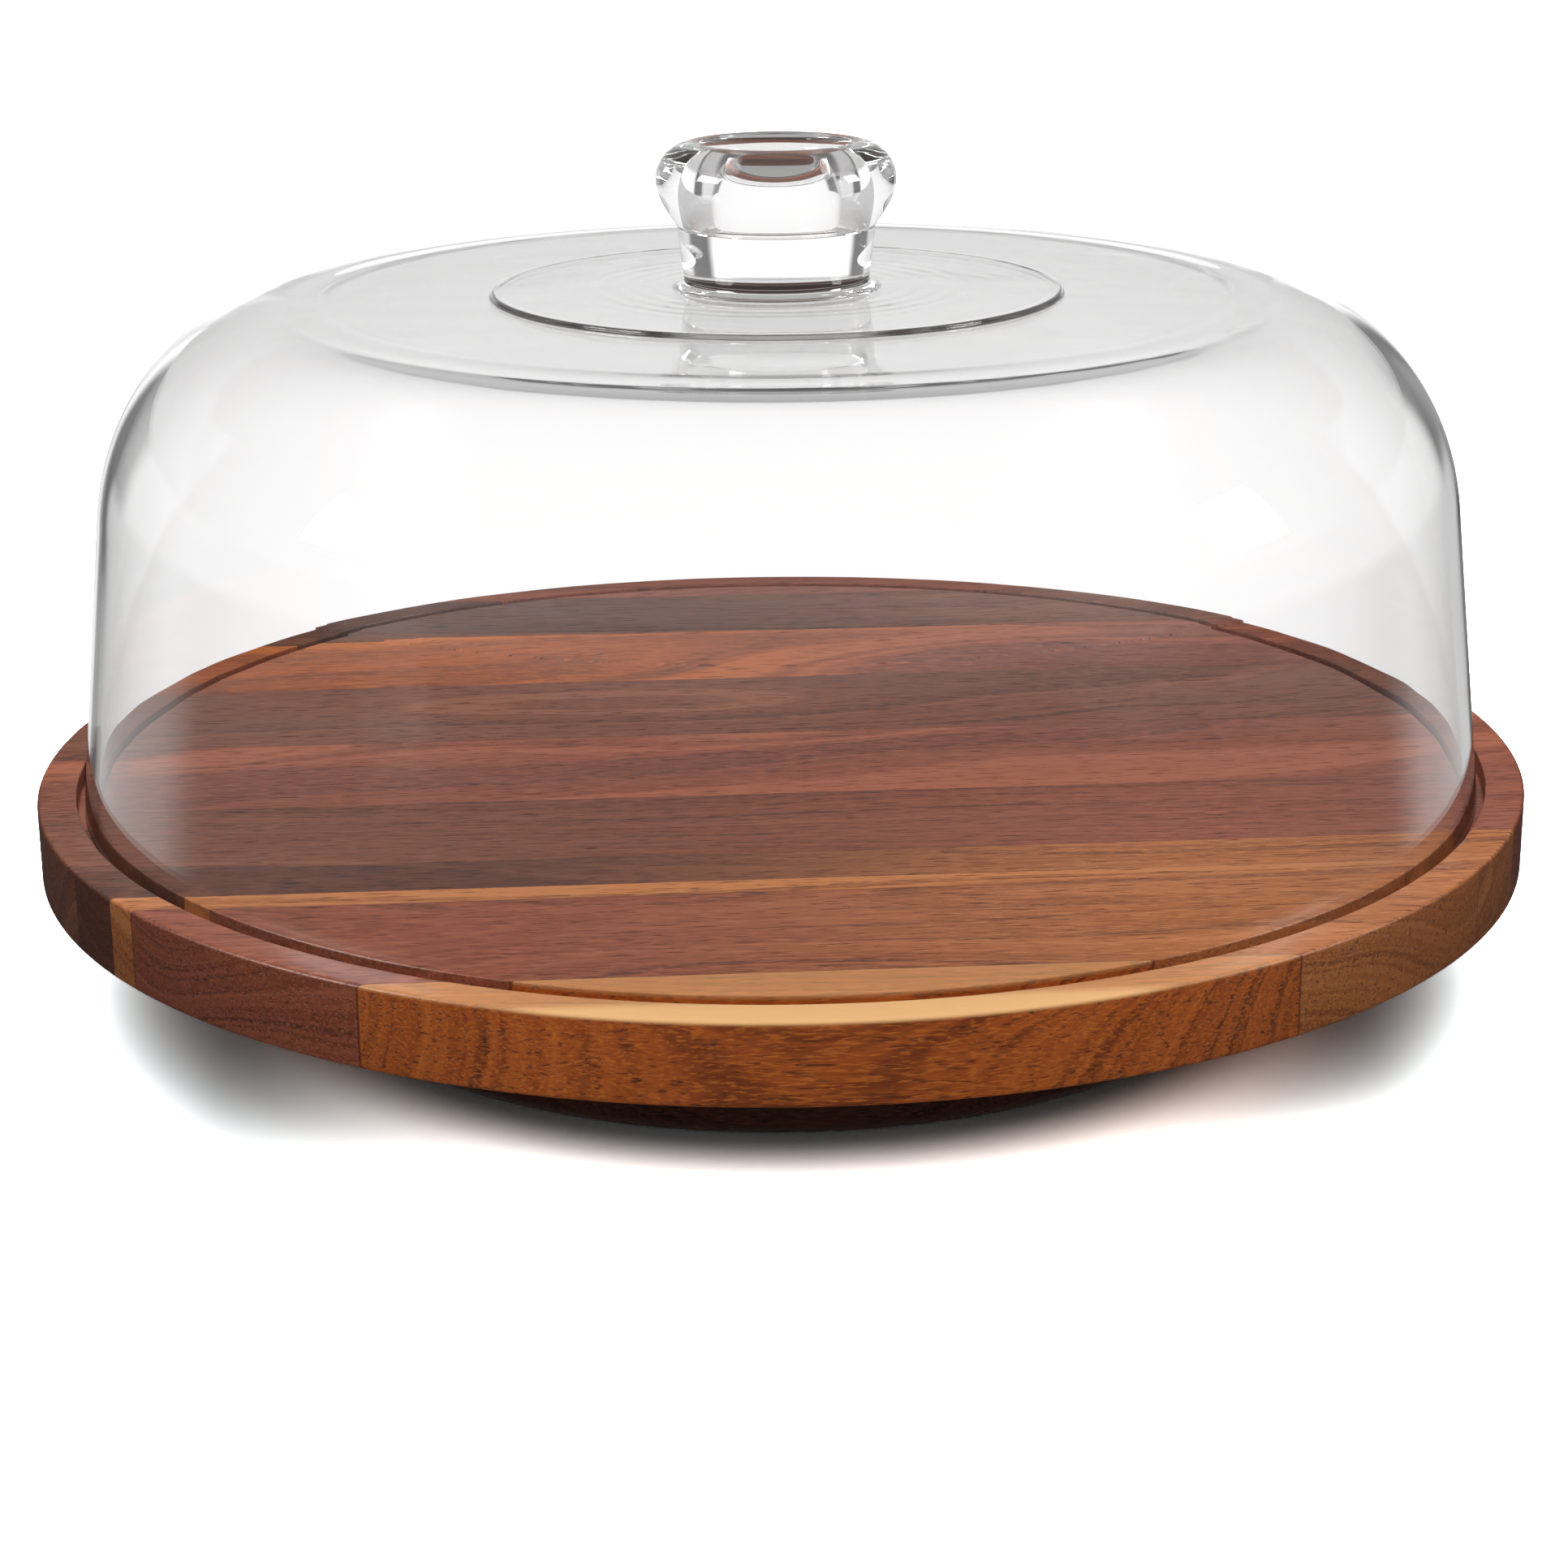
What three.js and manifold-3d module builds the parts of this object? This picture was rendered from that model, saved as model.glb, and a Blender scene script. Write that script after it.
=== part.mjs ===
// A rotating serving board of edge-glued acacia under a clear glass dome with a glass knob.
// Millimetres, +Z up. The origin is on the table, under the centre of the stand.
import * as THREE from "three";
import { mergeVertices } from "three/addons/utils/BufferGeometryUtils.js";
import Module from "manifold-3d";

const wasm = await Module();
wasm.setup();

// Board: a turned disc with a groove round its top that locates the dome.
const BOARD_RADIUS = 165;
const BOARD_THICKNESS = 17;
const BOARD_TOP = 50;
const BOARD_BOTTOM = BOARD_TOP - BOARD_THICKNESS;
const BOARD_EASED_EDGE = 0.8;
const GROOVE_OUTER_RADIUS = 156.6;
const GROOVE_INNER_RADIUS = 151.5;
const GROOVE_DEPTH = 4;
// Glue joints between the board's staves, from the front edge to the back edge, as Y positions.
const BOARD_JOINTS = [-139.3, -95, -87.4, -71, -32, 14, 60, 103, 142];

// Base: a smaller disc that stands still on four feet.
const BASE_RADIUS = 110.6;
const BASE_BOTTOM = 3;
const BASE_TOP = 23;
const BASE_LOWER_CHAMFER = 3;
const BASE_UPPER_CHAMFER = 1;
const BASE_JOINTS = [-66, -22, 22, 66];
const ACCESS_HOLE_RADIUS = 7;

const FOOT_RADIUS = 9;
const FOOT_CIRCLE = 92;
const FOOT_EASED_EDGE = 0.6;
const FOOT_COUNT = 4;

// Bearing: the outer ring is screwed to the base, the inner ring to the board, balls run between.
const BALL_RADIUS = 2.5;
const BALL_CIRCLE = 51.2;
const BALL_COUNT = 16;
const BALL_HEIGHT = 28;
const RACE_RADIUS = BALL_RADIUS + 0.25;
const RING_HEIGHT = 8;
const OUTER_RING_RADII = [53, 62];
const INNER_RING_RADII = [40, 49.4];
const CAGE_RADII = [50.3, 52.1];
const CAGE_HEIGHTS = [24.2, 31.8];

const SCREW_HEAD_RADIUS = 3.4;
const SCREW_SHANK_RADIUS = 1.5;
const SCREW_LENGTH = 17;
const SCREW_TIP = 2.5;
const SCREW_CLEARANCE = 0.3;
const SCREW_RECESS = { length: 3.4, width: 0.8, depth: 1.1 };
const OUTER_SCREW_CIRCLE = 57.5;
const INNER_SCREW_CIRCLE = 44.7;
const SCREWS_PER_RING = 4;

// Dome: a pressed glass bell, drawn in where it rises, with a flat crown and a raised round table.
const DOME_SEAT_GAP = 0.1;
const DOME_FOOT = BOARD_TOP - GROOVE_DEPTH + DOME_SEAT_GAP;
const DOME_FOOT_RADIUS = 155;
const DOME_FOOT_WALL = 2.8;
const DOME_FOOT_ROUNDING = 1;
const DOME_WALL = 3;
const SHOULDER_START = { radius: 148, height: 111.1 };
const SHOULDER_END = { radius: 107.5, height: 153.8 };
const SHOULDER_EXPONENT = 1.85;
const CROWN_STEP = 0.5;
const CROWN_UNDERSIDE = 150.9;
const TABLE_RADIUS = 61.8;
const TABLE_HEIGHT = 155.3;

// Knob: pressed glass fused to the table, with a deep recess in its top. Each entry of the neck and
// the recess is [radius, height above the table].
const KNOB_FOOT_RADIUS = 22.7;
const KNOB_FOOT_FLARE = { inset: 1.4, height: 0.9 };
const KNOB_NECK = [[20.1, 3], [20.5, 5.7], [21.2, 12.7], [21.2, 13.3]];
const KNOB_BULB = { radius: 26, height: 23.3, belowHeight: 10.2, aboveHeight: 7.8, waist: 21.4 };
const KNOB_LIP_RADIUS = 17.6;
const KNOB_HEIGHT = 31.1;
const KNOB_RECESS = [
  [16.5, 30.6], [14.8, 28.8], [14.2, 27], [14, 22.5], [13.7, 18.5], [13, 16], [12.2, 14.8], [11, 14.2],
];

const SEGMENTS = { board: 96, base: 72, ring: 48, dome: 64, knob: 36, hole: 24, foot: 16, screw: 12 };
const CUT_MARGIN = 2;

const look = (color, roughness, metalness = 0) => ({ color, roughness, metalness });
const LOOKS = {
  golden: look("#9a5526", 0.5),
  red: look("#7c3a22", 0.5),
  dark: look("#56291a", 0.5),
  tan: look("#a8693c", 0.5),
  brown: look("#6f4030", 0.5),
  glass: { ...look("#eef2f2", 0.03), transparent: true, opacity: 0.25 },
  rubber: look("#1c1c1c", 0.85),
  aluminium: look("#b9bcc0", 0.35, 1),
  steel: look("#c9ccd0", 0.18, 1),
  nylon: look("#e4e1d8", 0.6),
};
const BOARD_LOOKS = ["golden", "red", "tan", "dark", "brown", "red", "brown", "golden", "dark", "red"];
const BASE_LOOKS = ["dark", "red", "brown", "dark", "red"];

const root = new THREE.Group();

function add(name, geometry, lookName, parent = root) {
  const mesh = new THREE.Mesh(geometry, new THREE.MeshStandardMaterial(LOOKS[lookName]));
  mesh.name = name;
  parent.add(mesh);
  return mesh;
}

// A profile of [radius, height] points turned about Z. It runs anticlockwise, with radius to the right
// and height up, so that its faces point out.
function turned(profile, segments) {
  const points = profile.map(([radius, height]) => new THREE.Vector2(radius, height));
  return new THREE.LatheGeometry(points, segments).rotateX(Math.PI / 2);
}

function ring(profile, segments) {
  return turned([...profile, profile[0]], segments);
}

function solid(geometry) {
  const bare = geometry.clone();
  bare.deleteAttribute("normal");
  bare.deleteAttribute("uv");
  const merged = mergeVertices(bare, 1e-4);
  const corners = merged.index.array;
  const kept = [];
  for (let i = 0; i < corners.length; i += 3) {
    const [a, b, c] = corners.slice(i, i + 3);
    if (a !== b && b !== c && c !== a) kept.push(a, b, c);
  }
  const mesh = new wasm.Mesh({
    numProp: 3,
    vertProperties: merged.attributes.position.array,
    triVerts: new Uint32Array(kept),
  });
  return new wasm.Manifold(mesh);
}

function geometryOf(manifold) {
  const mesh = manifold.getMesh();
  const geometry = new THREE.BufferGeometry();
  geometry.setAttribute("position", new THREE.BufferAttribute(mesh.vertProperties, 3));
  geometry.setIndex(new THREE.BufferAttribute(mesh.triVerts, 1));
  geometry.computeVertexNormals();
  return geometry;
}

const onCircle = (radius, angle) => [radius * Math.cos(angle), radius * Math.sin(angle)];

function around(count, firstAngle = 0) {
  return Array.from({ length: count }, (_, i) => firstAngle + (i * 2 * Math.PI) / count);
}

// A disc of wood sawn along its glue joints into staves, front to back.
function staves(disc, radius, joints) {
  const edges = [-radius - CUT_MARGIN, ...joints, radius + CUT_MARGIN];
  const length = 2 * (radius + CUT_MARGIN);
  return joints.concat(Infinity).map((_, i) => {
    const width = edges[i + 1] - edges[i];
    const slab = new THREE.BoxGeometry(length, width, length);
    slab.translate(0, (edges[i] + edges[i + 1]) / 2, 0);
    return geometryOf(disc.intersect(solid(slab)));
  });
}

// Countersunk wood screw, head up at height 0 and its point straight down.
const screwSection = (grow) => [
  [0, -SCREW_LENGTH],
  [SCREW_SHANK_RADIUS + grow, -SCREW_LENGTH + SCREW_TIP],
  [SCREW_SHANK_RADIUS + grow, -(SCREW_HEAD_RADIUS - SCREW_SHANK_RADIUS)],
  [SCREW_HEAD_RADIUS + grow, 0],
];

function screwGeometry() {
  const body = turned([...screwSection(0), [0, 0]], SEGMENTS.screw);
  const { length, width, depth } = SCREW_RECESS;
  const bar = solid(new THREE.BoxGeometry(length, width, 2 * depth));
  const crossBar = solid(new THREE.BoxGeometry(width, length, 2 * depth));
  return geometryOf(solid(body).subtract(bar).subtract(crossBar));
}

// The room that a screw needs in the pieces it passes through, longer than the screw at both ends.
function screwRoom() {
  const section = screwSection(SCREW_CLEARANCE);
  section[0][1] -= 1;
  section[1][1] -= 1;
  return turned([...section, [SCREW_HEAD_RADIUS + SCREW_CLEARANCE, 1], [0, 1]], SEGMENTS.screw);
}

// Screws of the outer ring point down from its top, those of the inner ring point up from below.
const screwPlaces = {
  outer: { circle: OUTER_SCREW_CIRCLE, height: BASE_TOP + RING_HEIGHT, flip: false, first: Math.PI / 4 },
  inner: { circle: INNER_SCREW_CIRCLE, height: BOARD_BOTTOM - RING_HEIGHT, flip: true, first: 0 },
};

function placeScrew(geometry, place, angle) {
  const [x, y] = onCircle(place.circle, angle);
  const placed = geometry.clone();
  if (place.flip) placed.rotateX(Math.PI);
  return placed.translate(x, y, place.height);
}

function drilled(body, place) {
  return around(SCREWS_PER_RING, place.first).reduce(
    (left, angle) => left.subtract(solid(placeScrew(screwRoom(), place, angle))),
    body,
  );
}

function addBoard() {
  const ease = BOARD_EASED_EDGE;
  const floor = BOARD_TOP - GROOVE_DEPTH;
  const section = [
    [0, BOARD_BOTTOM],
    [BOARD_RADIUS - ease, BOARD_BOTTOM],
    [BOARD_RADIUS, BOARD_BOTTOM + ease],
    [BOARD_RADIUS, BOARD_TOP - ease],
    [BOARD_RADIUS - ease, BOARD_TOP],
    [GROOVE_OUTER_RADIUS, BOARD_TOP],
    [GROOVE_OUTER_RADIUS, floor],
    [GROOVE_INNER_RADIUS, floor],
    [GROOVE_INNER_RADIUS, BOARD_TOP],
    [0, BOARD_TOP],
  ];
  const disc = drilled(solid(turned(section, SEGMENTS.board)), screwPlaces.inner);
  staves(disc, BOARD_RADIUS, BOARD_JOINTS).forEach((stave, i) => {
    add(`board_stave_${String(i + 1).padStart(2, "0")}`, stave, BOARD_LOOKS[i]);
  });
}

function addBase() {
  const section = [
    [0, BASE_BOTTOM],
    [BASE_RADIUS - BASE_LOWER_CHAMFER, BASE_BOTTOM],
    [BASE_RADIUS, BASE_BOTTOM + BASE_LOWER_CHAMFER],
    [BASE_RADIUS, BASE_TOP - BASE_UPPER_CHAMFER],
    [BASE_RADIUS - BASE_UPPER_CHAMFER, BASE_TOP],
    [0, BASE_TOP],
  ];
  const hole = new THREE.CylinderGeometry(ACCESS_HOLE_RADIUS, ACCESS_HOLE_RADIUS, BASE_RADIUS, SEGMENTS.hole);
  hole.rotateX(Math.PI / 2).translate(INNER_SCREW_CIRCLE, 0, 0);
  const disc = drilled(solid(turned(section, SEGMENTS.base)), screwPlaces.outer).subtract(solid(hole));
  staves(disc, BASE_RADIUS, BASE_JOINTS).forEach((stave, i) => {
    add(`base_stave_${i + 1}`, stave, BASE_LOOKS[i]);
  });
}

function addFeet() {
  const section = [
    [0, 0],
    [FOOT_RADIUS - FOOT_EASED_EDGE, 0],
    [FOOT_RADIUS, FOOT_EASED_EDGE],
    [FOOT_RADIUS, BASE_BOTTOM],
    [0, BASE_BOTTOM],
  ];
  around(FOOT_COUNT, Math.PI / 4).forEach((angle, i) => {
    const foot = add(`foot_${i + 1}`, turned(section, SEGMENTS.foot), "rubber");
    foot.position.set(...onCircle(FOOT_CIRCLE, angle), 0);
  });
}

// Ball race of a ring, from low to high: side +1 is cut outwards into the outer ring, -1 inwards.
function race(side, faceRadius) {
  const reach = Math.acos(Math.abs(faceRadius - BALL_CIRCLE) / RACE_RADIUS);
  return [-1, -0.5, 0, 0.5, 1].map((part) => [
    BALL_CIRCLE + side * RACE_RADIUS * Math.cos(part * reach),
    BALL_HEIGHT + RACE_RADIUS * Math.sin(part * reach),
  ]);
}

function addBearing() {
  const [outerIn, outerOut] = OUTER_RING_RADII;
  const outerTop = BASE_TOP + RING_HEIGHT;
  const outerSection = [
    [outerIn, BASE_TOP],
    [outerOut, BASE_TOP],
    [outerOut, outerTop],
    [outerIn, outerTop],
    ...race(1, outerIn).reverse(),
  ];
  const outer = drilled(solid(ring(outerSection, SEGMENTS.ring)), screwPlaces.outer);
  add("bearing_outer_ring", geometryOf(outer), "aluminium");

  const [innerIn, innerOut] = INNER_RING_RADII;
  const innerBottom = BOARD_BOTTOM - RING_HEIGHT;
  const innerSection = [
    [innerIn, innerBottom],
    [innerOut, innerBottom],
    ...race(-1, innerOut),
    [innerOut, BOARD_BOTTOM],
    [innerIn, BOARD_BOTTOM],
  ];
  const inner = drilled(solid(ring(innerSection, SEGMENTS.ring)), screwPlaces.inner);
  add("bearing_inner_ring", geometryOf(inner), "aluminium");

  const [cageIn, cageOut] = CAGE_RADII;
  const [cageLow, cageHigh] = CAGE_HEIGHTS;
  const cageSection = [[cageIn, cageLow], [cageOut, cageLow], [cageOut, cageHigh], [cageIn, cageHigh]];
  let cage = solid(ring(cageSection, SEGMENTS.ring));
  around(BALL_COUNT).forEach((angle, i) => {
    const pocket = new THREE.CylinderGeometry(RACE_RADIUS, RACE_RADIUS, 3 * BALL_RADIUS, SEGMENTS.screw);
    pocket.rotateZ(Math.PI / 2).translate(BALL_CIRCLE, 0, BALL_HEIGHT).rotateZ(angle);
    cage = cage.subtract(solid(pocket));
    const ball = add(
      `bearing_ball_${String(i + 1).padStart(2, "0")}`,
      new THREE.IcosahedronGeometry(BALL_RADIUS, 1),
      "steel",
    );
    ball.position.set(...onCircle(BALL_CIRCLE, angle), BALL_HEIGHT);
  });
  add("ball_cage", geometryOf(cage), "nylon");
}

function addScrews() {
  for (const [ringName, place] of Object.entries(screwPlaces)) {
    around(SCREWS_PER_RING, place.first).forEach((angle, i) => {
      add(`${ringName}_ring_screw_${i + 1}`, placeScrew(screwGeometry(), place, angle), "steel");
    });
  }
}

// Quarter superellipse of the shoulder, from the wall up to the crown, drawn in by the wall thickness.
function shoulder(inset, steps) {
  const across = SHOULDER_START.radius - SHOULDER_END.radius - inset;
  const rise = SHOULDER_END.height - SHOULDER_START.height - inset;
  const power = 2 / SHOULDER_EXPONENT;
  return Array.from({ length: steps + 1 }, (_, i) => {
    const angle = (i / steps) * (Math.PI / 2);
    return [
      SHOULDER_END.radius + across * Math.max(0, Math.cos(angle)) ** power,
      SHOULDER_START.height + rise * Math.sin(angle) ** power,
    ];
  });
}

function addDome() {
  const soft = DOME_FOOT_ROUNDING;
  const inside = DOME_FOOT_RADIUS - DOME_FOOT_WALL;
  const section = [
    [0, CROWN_UNDERSIDE],
    ...shoulder(DOME_WALL, 8).reverse(),
    [inside, DOME_FOOT + soft],
    [inside + soft, DOME_FOOT],
    [DOME_FOOT_RADIUS - soft, DOME_FOOT],
    [DOME_FOOT_RADIUS, DOME_FOOT + soft],
    ...shoulder(0, 9),
    [SHOULDER_END.radius - 2 * CROWN_STEP, SHOULDER_END.height + CROWN_STEP],
    [TABLE_RADIUS, SHOULDER_END.height + CROWN_STEP],
    [TABLE_RADIUS - CROWN_STEP, TABLE_HEIGHT],
    [0, TABLE_HEIGHT],
  ];
  add("dome_shell", turned(section, SEGMENTS.dome), "glass");
}

// The bulb bulges from its waist to its widest height, then closes to the lip.
function knobBulb() {
  const { radius, height, belowHeight, aboveHeight, waist } = KNOB_BULB;
  const below = [0, 0.25, 0.5, 0.75].map((part) => [
    waist + (radius - waist) * Math.sin((part * Math.PI) / 2),
    height - belowHeight + belowHeight * part,
  ]);
  const above = [0, 0.3, 0.6, 0.85, 1].map((part) => [
    KNOB_LIP_RADIUS + (radius - KNOB_LIP_RADIUS) * Math.cos((part * Math.PI) / 2),
    height + aboveHeight * Math.sin((part * Math.PI) / 2),
  ]);
  return [...below, ...above];
}

function addKnob() {
  const section = [
    [0, 0],
    [KNOB_FOOT_RADIUS, 0],
    [KNOB_FOOT_RADIUS - KNOB_FOOT_FLARE.inset, KNOB_FOOT_FLARE.height],
    ...KNOB_NECK,
    ...knobBulb(),
    ...KNOB_RECESS,
    [0, KNOB_RECESS.at(-1)[1]],
  ];
  add("dome_knob", turned(section, SEGMENTS.knob), "glass").position.z = TABLE_HEIGHT;
}

addBase();
addFeet();
addBearing();
addScrews();
addBoard();
addDome();
addKnob();

export default root;
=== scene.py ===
"""Looks of the rotating acacia stand with its glass dome. Sizes are in millimetres until a mesh is made."""
import math
import random

import bmesh
import bpy
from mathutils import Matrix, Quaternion, Vector


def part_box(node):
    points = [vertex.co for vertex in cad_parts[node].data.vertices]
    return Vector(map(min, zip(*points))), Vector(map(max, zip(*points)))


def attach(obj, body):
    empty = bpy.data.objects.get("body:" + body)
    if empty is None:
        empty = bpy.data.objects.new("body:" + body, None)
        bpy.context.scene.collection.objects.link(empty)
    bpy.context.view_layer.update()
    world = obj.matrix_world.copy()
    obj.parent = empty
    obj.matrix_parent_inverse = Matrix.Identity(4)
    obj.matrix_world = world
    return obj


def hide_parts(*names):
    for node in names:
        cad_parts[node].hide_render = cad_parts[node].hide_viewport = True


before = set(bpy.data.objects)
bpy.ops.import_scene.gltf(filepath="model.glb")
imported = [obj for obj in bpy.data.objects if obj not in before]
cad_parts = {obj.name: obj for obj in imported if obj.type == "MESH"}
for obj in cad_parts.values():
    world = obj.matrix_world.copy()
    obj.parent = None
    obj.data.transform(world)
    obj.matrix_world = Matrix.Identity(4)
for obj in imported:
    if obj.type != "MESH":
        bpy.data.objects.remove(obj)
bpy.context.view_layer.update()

MM = 0.001
ROUND = 2 * math.pi


def node_box(*nodes):
    """Lowest and highest corner, in millimetres, of one or several CAD nodes together."""
    corners = [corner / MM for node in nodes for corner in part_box(node)]
    low = Vector(min(c[i] for c in corners) for i in range(3))
    high = Vector(max(c[i] for c in corners) for i in range(3))
    return low, high


def nodes_named(start):
    return sorted(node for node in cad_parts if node.startswith(start))


# ---- Driving dimensions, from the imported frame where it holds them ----

BOARD_NODES = nodes_named("board_stave")
BASE_NODES = nodes_named("base_stave")
FOOT_NODES = nodes_named("foot")
BALL_NODES = nodes_named("bearing_ball")
OUTER_SCREW_NODES = nodes_named("outer_ring_screw")
INNER_SCREW_NODES = nodes_named("inner_ring_screw")

BOARD_LOW, BOARD_HIGH = node_box(*BOARD_NODES)
BASE_LOW, BASE_HIGH = node_box(*BASE_NODES)
BALL_LOW, BALL_HIGH = node_box(BALL_NODES[0])
DOME_LOW, DOME_HIGH = node_box("dome_shell")
KNOB_LOW, KNOB_HIGH = node_box("dome_knob")

BOARD_EDGE_ROUNDING = 0.9
GROOVE_RADII = (151.5, 156.6)
GROOVE_DEPTH = 4.0
GROOVE_LIP_ROUNDING = 0.35
GROOVE_CORNER_ROUNDING = 0.5

BASE_CHAMFERS = (3.0, 1.0)
BASE_CHAMFER_SOFTENING = 0.4

FOOT_ROUNDING = 0.6
FOOT_TOP_CHAMFER = 0.15
FOOT_DIMPLE = {"radius": 4.2, "depth": 0.6, "inward": 0.5, "outward": 0.2}

BALL_RADIUS = 2.5
BALL_CIRCLE = 51.2
BALL_MIDDLE = (BALL_LOW.z + BALL_HIGH.z) / 2
BALL_PLAY = 0.25
RACE_RADIUS = BALL_RADIUS + BALL_PLAY
RACE_STEPS = 12
RING_EDGE = 0.35
RING_INSIDES = {"bearing_outer_ring": 53.0, "bearing_inner_ring": 40.0}
CAGE = {"wall": 1.8, "edge": 0.25, "pocket_reach": 5}

SCREW = {"head": 3.4, "shank": 1.5, "core": 1.12, "length": 17.0, "tip": 2.5, "pitch": 1.25}
THREAD = {"start": 0.4, "end": 1.2, "plain": 0.6, "tip_radius": 0.15, "steps": 96}
SCREW_HEAD_RIM = {"inset": 0.1, "height": 0.25}
SCREW_ROOM = 0.3
DRILL_OVERSHOOT = 1
SCREW_RECESS = {"length": 3.4, "width": 0.8, "depth": 1.1}
OUTER_SCREW_CIRCLE = 57.5
INNER_SCREW_CIRCLE = 44.7
ACCESS_HOLE = {"radius": 7.0, "circle": INNER_SCREW_CIRCLE}

DOME_FOOT_ROUNDING = 1.0
DOME_WALL = 2.9
SHOULDER_START = (148.0, 111.1)
SHOULDER_END = (107.5, 153.8)
SHOULDER_EXPONENT = 2.1
CROWN_STEP = {"height": 0.5, "width": 9.0, "inner_width": 11.0}
FLAT_MARGIN = 0.4
TABLE_BEAD = {"width": 2.0, "slope": 1.6, "height": 0.05}
TABLE_RIPPLES = {"from": 25.0, "to": 43.0, "count": 4, "height": 0.012}
TABLE_RADIUS = 61.8
TABLE_EDGE = 0.55

KNOB_FOOT_RADIUS = 22.7
KNOB_NECK_RADII = (20.1, 21.3)
KNOB_NECK_HEIGHTS = (2.2, 13.0)
KNOB_FLARE_POWER = 0.9
KNOB_NECK_POWER = 0.8
KNOB_STEP = {"inset": 0.35, "rise": 0.12, "outer_inset": 0.3, "outer_drop": 0.05}
KNOB_BULB = {"radius": 26.0, "height": 23.3, "waist": 21.6, "waist_height": 13.5}
KNOB_LIP_RADIUS = 17.6
KNOB_RECESS = [
    (16.7, 30.95), (16.1, 30.3), (14.8, 28.8), (14.2, 27.0), (14.0, 22.5),
    (13.7, 18.5), (13.0, 16.0), (12.2, 14.8), (11.0, 14.2),
]
# How far inward of the recess's last point its curve is led, and where its flat floor starts.
KNOB_FLOOR = {"guide": 1, "start": 1.4}

# How finely each outline is drawn, and how many steps a turned piece has in a full turn.
DOME_STEPS = {"wall": 16, "shoulder": 64, "foot": 8, "rise": 14, "crown": 6, "middle": 12,
              "corner": 6, "edge": 8, "bead": 8, "ripple": 12}
KNOB_STEPS = {"flare": 10, "neck": 14, "below": 20, "above": 24, "recess": 6, "floor": 4}
TURNS = {"board": 288, "base": 192, "ring": 192, "dome": 320, "knob": 192, "foot": 64, "screw": 32,
         "thread": 24, "ball": 48, "hole": 64}

SAW_MARGIN = 5
TOLERANCE = 1e-6
WELD_DISTANCE = 1e-3
COLLAPSE_DISTANCE = 1e-4
GLASS_CREASE = 50


# ---- Meshes ----

def arc(centre, radius, first, last, steps):
    """Points of a round from one angle to another, in degrees, as [radius, height]."""
    angles = [math.radians(first + (last - first) * i / steps) for i in range(steps + 1)]
    return [(centre[0] + radius * math.cos(a), centre[1] + radius * math.sin(a)) for a in angles]


def spaced(first, last, steps):
    return [first + (last - first) * i / steps for i in range(steps + 1)]


def smooth_step(part):
    part = min(1.0, max(0.0, part))
    return part * part * (3 - 2 * part)


def around(radius, angle, height):
    return radius * math.cos(angle), radius * math.sin(angle), height


def add_row(points, rows, radii, height):
    """Adds points evenly round, each at its own radius. A single one is a tip on the axis."""
    rows.append([len(points) + i for i in range(len(radii))])
    points += [around(radius, ROUND * i / len(radii), height) for i, radius in enumerate(radii)]


def skin(rows, closed=False):
    """Faces between neighbouring rows, and for each face the number of the row that it starts from."""
    faces, steps = [], []
    pairs = list(zip(rows, rows[1:] + rows[:1]))
    for step, (low, high) in enumerate(pairs if closed else pairs[:-1]):
        turns = max(len(low), len(high))
        for i in range(turns):
            j = (i + 1) % turns
            if len(low) == 1:
                faces.append((low[0], high[j], high[i]))
            elif len(high) == 1:
                faces.append((low[i], low[j], high[0]))
            else:
                faces.append((low[i], low[j], high[j], high[i]))
            steps.append(step)
    return faces, steps


def lathe(profile, turns, closed=False):
    """A profile of [radius, height] turned about Z, anticlockwise so that its faces point out.
    Returns the points, the faces, and for each face the step of the profile it came from."""
    points, rows = [], []
    for radius, height in profile:
        add_row(points, rows, [radius] * (1 if radius < TOLERANCE else turns), height)
    return points, *skin(rows, closed)


def box_mesh(low, high):
    x, y, z = zip(low, high)
    points = [(x[i], y[j], z[k]) for k in (0, 1) for j in (0, 1) for i in (0, 1)]
    faces = [(0, 2, 3, 1), (4, 5, 7, 6), (0, 1, 5, 4), (2, 6, 7, 3), (0, 4, 6, 2), (1, 3, 7, 5)]
    return points, faces


def new_object(name, points, faces):
    mesh = bpy.data.meshes.new(name)
    mesh.from_pydata([Vector(p) * MM for p in points], [], faces)
    mesh.update()
    made = bpy.data.objects.new(name, mesh)
    bpy.context.scene.collection.objects.link(made)
    return made


def turned(name, profile, turns, closed=False):
    points, faces, _ = lathe(profile, turns, closed)
    return new_object(name, points, faces)


def discard(obj):
    mesh = obj.data
    bpy.data.objects.remove(obj)
    bpy.data.meshes.remove(mesh)


def cut(obj, cutter, operation="DIFFERENCE"):
    """Joins, cuts or keeps what is common, and leaves a plain mesh on obj."""
    change = obj.modifiers.new("cut", "BOOLEAN")
    change.solver = "MANIFOLD"
    change.operation = operation
    change.object = cutter
    bpy.context.view_layer.update()
    evaluated = obj.evaluated_get(bpy.context.evaluated_depsgraph_get())
    made = bpy.data.meshes.new_from_object(evaluated)
    obj.modifiers.clear()
    old = obj.data
    obj.data = made
    bpy.data.meshes.remove(old)


def cut_once(obj, cutter, operation="DIFFERENCE"):
    cut(obj, cutter, operation)
    discard(cutter)


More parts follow.
